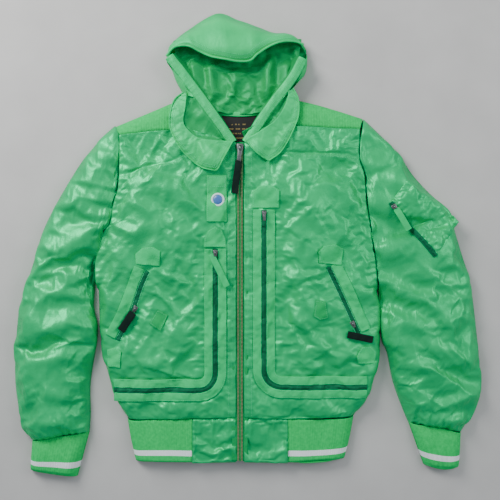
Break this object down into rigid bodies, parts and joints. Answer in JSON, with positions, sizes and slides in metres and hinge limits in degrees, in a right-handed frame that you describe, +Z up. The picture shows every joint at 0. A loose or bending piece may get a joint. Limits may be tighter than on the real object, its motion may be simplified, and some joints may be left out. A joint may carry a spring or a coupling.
{
  "type": "hooded jacket",
  "caption": "Hooded nylon bomber jacket laid flat: zip front, L-shaped pocket zips, slanted hand pockets, sleeve pocket, rib cuffs and hem.",
  "frame": {"origin": "underside of the back panel, on the line of the front zip, about mid-length", "axes": "+X to the wearer's left, +Y from hem to hood, +Z up out of the surface the jacket lies on"},
  "size_m": [0.9436, 0.9374, 0.048],
  "materials": {
    "shell_nylon": "satin crinkled nylon",
    "rib_knit": "matte rib knit with a white stripe at cuffs and hem",
    "webbing": "matte woven webbing",
    "lining": "plain lining",
    "label_black": "woven label with plain lines",
    "ribbon_black": "black ribbon",
    "zip_green": "dyed zip tape and coil",
    "zip_brass": "dull antique teeth on green tape",
    "slider_metal": "dark grey",
    "snap_enamel": "pale ring with a blue centre"
  },
  "bodies": {
    "jacket": {"back_lining": "lining", "back_panel": "shell_nylon", "band_patch_left": "webbing", "band_patch_right": "webbing", "front_panel_left": "shell_nylon", "front_panel_right": "shell_nylon", "hand_band_left": "webbing", "hand_band_right": "webbing", "hand_patch_left": "webbing", "hand_patch_right": "webbing", "hand_zip_left": "zip_green", "hand_zip_right": "zip_green", "lower_patch_left": "webbing", "lower_patch_right": "webbing", "neck_band_left": "shell_nylon", "neck_band_right": "shell_nylon", "neck_label": "label_black", "neck_tape": "shell_nylon", "pocket_band_left": "webbing", "pocket_band_right": "webbing", "pocket_panel_left": "shell_nylon", "pocket_panel_right": "shell_nylon", "shoulder_knit_left": "rib_knit", "shoulder_knit_right": "rib_knit", "side_panel_left": "shell_nylon", "side_panel_right": "shell_nylon", "waist_front_left": "shell_nylon", "waist_front_right": "shell_nylon", "waist_rib_back": "rib_knit", "waist_rib_left": "rib_knit", "waist_rib_right": "rib_knit", "zip_chain_left": "zip_brass", "zip_chain_right": "zip_brass"},
    "zip_slider": {"zip_slider": "slider_metal"},
    "zip_pull": {"zip_pull": "slider_metal", "zip_ribbon": "ribbon_black"},
    "pocket_slider_left": {"pocket_slider_left": "slider_metal"},
    "pocket_pull_left": {"pocket_pull_left": "slider_metal"},
    "pocket_slider_right": {"pocket_slider_right": "slider_metal"},
    "pocket_pull_right": {"pocket_pull_right": "webbing"},
    "hand_slider_left": {"hand_slider_left": "slider_metal"},
    "hand_ribbon_left": {"hand_ribbon_left": "ribbon_black"},
    "hand_slider_right": {"hand_slider_right": "slider_metal"},
    "hand_ribbon_right": {"hand_ribbon_right": "ribbon_black"},
    "chest_tab": {"chest_tab": "webbing", "snap_cap": "snap_enamel"},
    "collar_left": {"collar_leaf_left": "shell_nylon"},
    "collar_right": {"collar_leaf_right": "shell_nylon"},
    "hood": {"hood_back": "shell_nylon", "hood_front": "shell_nylon"},
    "sleeve_left": {"sleeve_under_left": "shell_nylon", "sleeve_upper_left": "shell_nylon", "cuff_left": "rib_knit", "sleeve_pocket": "shell_nylon", "sleeve_zip": "zip_green"},
    "sleeve_right": {"sleeve_under_right": "shell_nylon", "sleeve_upper_right": "shell_nylon", "cuff_right": "rib_knit"},
    "sleeve_slider": {"sleeve_slider": "slider_metal"},
    "sleeve_pull": {"sleeve_pull": "webbing"}
  },
  "joints": [
    {"name": "front_zip", "type": "slide", "parent": "jacket", "child": "zip_slider", "axis": [0, -1, 0], "range_m": [0, 0.6]},
    {"name": "zip_pull_flip", "type": "hinge", "parent": "zip_slider", "child": "zip_pull", "pos_m": [0, 0.19, 0.0352], "axis": [-1, 0, 0], "range_deg": [0, 170]},
    {"name": "pocket_zip_left", "type": "slide", "parent": "jacket", "child": "pocket_slider_left", "axis": [0, -1, 0], "range_m": [0, 0.285]},
    {"name": "pocket_pull_flip_left", "type": "hinge", "parent": "pocket_slider_left", "child": "pocket_pull_left", "pos_m": [0.048, 0.06, 0.0367], "axis": [-1, 0, 0], "range_deg": [0, 170]},
    {"name": "pocket_zip_right", "type": "slide", "parent": "jacket", "child": "pocket_slider_right", "axis": [0, -1, 0], "range_m": [0, 0.215]},
    {"name": "pocket_pull_flip_right", "type": "hinge", "parent": "pocket_slider_right", "child": "pocket_pull_right", "pos_m": [-0.051, -0.018, 0.0367], "axis": [-0.9272, -0.3746, 0], "range_deg": [0, 170]},
    {"name": "hand_zip_left", "type": "slide", "parent": "jacket", "child": "hand_slider_left", "axis": [-0.4138, 0.9104, 0], "range_m": [0, 0.125]},
    {"name": "hand_ribbon_flip_left", "type": "hinge", "parent": "hand_slider_left", "child": "hand_ribbon_left", "pos_m": [0.2347, -0.1707, 0.0381], "axis": [-0.4695, 0.8829, 0], "range_deg": [0, 140]},
    {"name": "hand_zip_right", "type": "slide", "parent": "jacket", "child": "hand_slider_right", "axis": [0.4199, 0.9076, 0], "range_m": [-0.055, 0.072]},
    {"name": "hand_ribbon_flip_right", "type": "hinge", "parent": "hand_slider_right", "child": "hand_ribbon_right", "pos_m": [-0.217, -0.1316, 0.0381], "axis": [-0.788, 0.6157, 0], "range_deg": [0, 140]},
    {"name": "chest_tab_flip", "type": "hinge", "parent": "jacket", "child": "chest_tab", "pos_m": [-0.046, 0.138, 0.0314], "axis": [-1, 0, 0], "range_deg": [0, 110]},
    {"name": "collar_flip_left", "type": "hinge", "parent": "jacket", "child": "collar_left", "pos_m": [0.018, 0.204, 0.0338], "axis": [-0.726, -0.6877, 0], "range_deg": [0, 90]},
    {"name": "collar_flip_right", "type": "hinge", "parent": "jacket", "child": "collar_right", "pos_m": [-0.018, 0.204, 0.0338], "axis": [-0.726, 0.6877, 0], "range_deg": [0, 90]},
    {"name": "hood_raise", "type": "hinge", "parent": "jacket", "child": "hood", "pos_m": [0, 0.302, 0.048], "axis": [1, 0, 0], "range_deg": [0, 90]},
    {"name": "sleeve_raise_left", "type": "hinge", "parent": "jacket", "child": "sleeve_left", "pos_m": [0.246, 0.25, 0.034], "axis": [0.0903, -0.9959, 0], "range_deg": [0, 80]},
    {"name": "sleeve_raise_right", "type": "hinge", "parent": "jacket", "child": "sleeve_right", "pos_m": [-0.246, 0.25, 0.034], "axis": [0.0903, 0.9959, 0], "range_deg": [0, 80]},
    {"name": "sleeve_zip", "type": "slide", "parent": "sleeve_left", "child": "sleeve_slider", "axis": [0.6561, -0.7547, 0], "range_m": [0, 0.11]},
    {"name": "sleeve_pull_flip", "type": "hinge", "parent": "sleeve_slider", "child": "sleeve_pull", "pos_m": [0.3088, 0.0693, 0.0417], "axis": [-0.7547, -0.6561, 0], "range_deg": [0, 140]}
  ]
}
